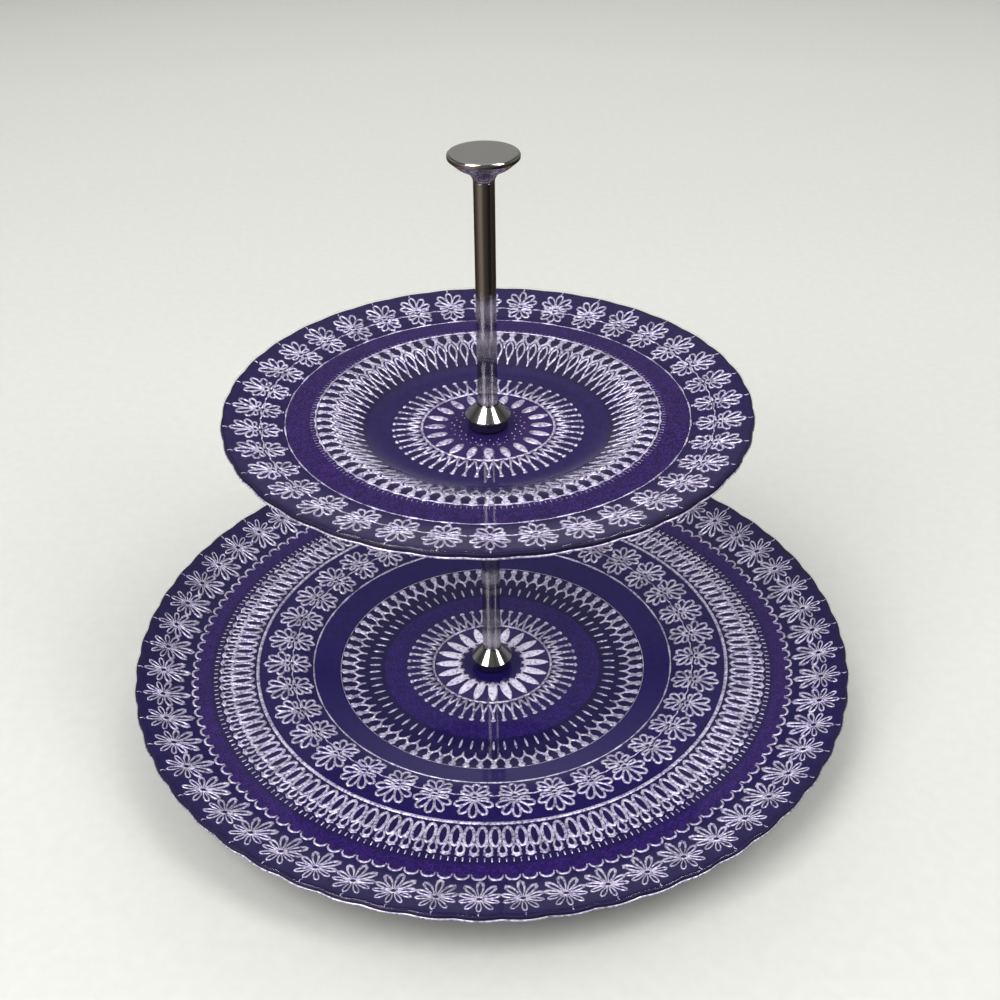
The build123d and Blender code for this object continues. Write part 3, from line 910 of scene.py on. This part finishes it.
# world: what the polished parts mirror. Taupe below, grey at the walls and pale above by height,
# and by bearing a pale strip at the left of the front, dark at its right and to both sides
world = bpy.data.worlds.new("studio")
bpy.context.scene.world = world
world.use_nodes = True
tree = world.node_tree
tree.nodes.clear()
direction = addNode(tree, "ShaderNodeTexCoord").outputs["Generated"]
parts = addNode(tree, "ShaderNodeSeparateXYZ", {"Vector": direction})
upward = addNode(tree, "ShaderNodeMapRange", {"Value": parts.outputs["Z"], "From Min": -1.0, "From Max": 1.0})
sky = addNode(tree, "ShaderNodeValToRGB", {"Fac": upward.outputs["Result"]})
setRamp(sky, [(0.0, "#5a5048"), (0.2, "#7d6f62"), (0.46, "#8a8076"), (0.53, "#b4b2b2"), (0.62, "#8f8f92"),
              (0.76, "#4e4e52"), (0.84, "#8d8d88"), (1.0, "#b4b4b6")])
forward = addNode(tree, "ShaderNodeMath", {0: parts.outputs["Y"], 1: -1.0}, operation="MULTIPLY")
bearingAngle = addNode(tree, "ShaderNodeMath", {0: parts.outputs["X"], 1: forward.outputs["Value"]},
                       operation="ARCTAN2")
turn = addNode(tree, "ShaderNodeMapRange", {"Value": bearingAngle.outputs["Value"], "From Min": -math.pi,
                                            "From Max": math.pi})
walls = addNode(tree, "ShaderNodeValToRGB", {"Fac": turn.outputs["Result"]})
setRamp(walls, [(0.0, 0.57), (0.08, 0.34), (0.14, 0.14), (0.19, 0.18), (0.27, 0.42), (0.34, 0.88), (0.38, 1.0),
                (0.41, 0.87), (0.44, 0.53), (0.475, 0.28), (0.5, 0.23), (0.55, 0.19), (0.6, 0.08), (0.66, 0.055),
                (0.69, 0.17), (0.725, 0.19), (0.77, 0.11), (0.86, 0.13), (0.93, 0.34), (1.0, 0.57)])
# above the horizon the room is more even, with soft darker gaps between pale things
upperWalls = addNode(tree, "ShaderNodeValToRGB", {"Fac": turn.outputs["Result"]})
setRamp(upperWalls, [(0.0, 0.57), (0.12, 0.5), (0.19, 0.75), (0.26, 0.35), (0.34, 0.8), (0.43, 0.3), (0.5, 0.45),
                     (0.57, 0.25), (0.64, 0.65), (0.73, 0.3), (0.81, 0.65), (0.88, 0.45), (1.0, 0.57)])
aboveShare = addNode(tree, "ShaderNodeMapRange", {"Value": parts.outputs["Z"], "From Min": -0.15, "From Max": 0.15})
around = addNode(tree, "ShaderNodeMix", {"Factor": aboveShare.outputs["Result"], "A": walls.outputs["Color"],
                                         "B": upperWalls.outputs["Color"]}, data_type="RGBA")
room = addNode(tree, "ShaderNodeMix", {"Factor": 1.0, "A": sky.outputs["Color"], "B": around.outputs["Result"]},
               data_type="RGBA", blend_type="MULTIPLY")
mirroredRoom = addNode(tree, "ShaderNodeBackground", {"Color": room.outputs["Result"], "Strength": 1.75})
# seen straight on, the room is a plain pale backdrop
backdrop = addNode(tree, "ShaderNodeBackground", {"Color": linear("#dcddda"), "Strength": 1.0})
sight = addNode(tree, "ShaderNodeLightPath")
surround = addNode(tree, "ShaderNodeMixShader", {
    0: sight.outputs["Is Camera Ray"], 1: mirroredRoom.outputs["Background"], 2: backdrop.outputs["Background"]})
addNode(tree, "ShaderNodeOutputWorld", {"Surface": surround.outputs["Shader"]})

# soft boxes: name, bearing from the front towards +X, height angle, distance in m, width, height, watts,
# and whether polished parts mirror it
softBoxes = [
    ("overheadSoftBox", 0, 82, 1.5, 1.6, 1.6, 4, False),
    ("leftWindow", -44, 44, 1.6, 0.8, 1.35, 26, True),
    ("rightWindow", 58, 44, 1.6, 0.5, 1.35, 16, True),
    ("leftFill", -110, 28, 1.7, 1.5, 0.8, 8, False),
    ("rightFill", 115, 28, 1.7, 1.5, 0.8, 7, False),
    ("backFill", 180, 30, 1.7, 1.5, 0.8, 8, False),
]
aimPoint = np.array([0, 0, 0.1])
for name, bearing, climb, distance, width, height, watts, mirrored in softBoxes:
    light = bpy.data.lights.new(name, "AREA")
    light.shape = "RECTANGLE"
    light.size, light.size_y = width, height
    light.energy = watts
    lamp = bpy.data.objects.new(name, light)
    lamp.visible_glossy = mirrored
    bpy.context.scene.collection.objects.link(lamp)
    bearing, climb = math.radians(bearing), math.radians(climb)
    away = np.array([math.sin(bearing) * math.cos(climb), -math.cos(bearing) * math.cos(climb), math.sin(climb)])
    sideways = np.array([math.cos(bearing), math.sin(bearing), 0.0])
    spot = away * distance + aimPoint
    axes = np.stack([sideways, np.cross(away, sideways), away], -1)
    lamp.matrix_world = Matrix([[*axes[i], spot[i]] for i in range(3)] + [[0, 0, 0, 1]])

# camera: place in metres, tilt down, turn right and roll in degrees, lens in mm
cameraSetup = {"place": (0.0, -0.477, 0.422), "down": 33.82, "right": 0.56, "roll": -0.68, "lens": 46.836}
down, yaw, roll = (math.radians(cameraSetup[k]) for k in ("down", "right", "roll"))
ahead = np.array([math.sin(yaw) * math.cos(down), math.cos(yaw) * math.cos(down), -math.sin(down)])
right = np.array([math.cos(yaw), -math.sin(yaw), 0.0])
up = np.cross(right, ahead)
rolledRight = math.cos(roll) * right + math.sin(roll) * up
rolledUp = -math.sin(roll) * right + math.cos(roll) * up
axes = np.stack([rolledRight, rolledUp, -ahead], -1)
lens = bpy.data.cameras.new("camera")
lens.sensor_width = 36.0
lens.lens = cameraSetup["lens"]
lens.clip_start = 0.01
camera = bpy.data.objects.new("camera", lens)
bpy.context.scene.collection.objects.link(camera)
camera.matrix_world = Matrix([[*axes[i], cameraSetup["place"][i]] for i in range(3)] + [[0, 0, 0, 1]])
bpy.context.scene.camera = camera
bpy.context.scene.view_settings.view_transform = "Standard"
bpy.context.scene.view_settings.look = "None"
print("stage set")
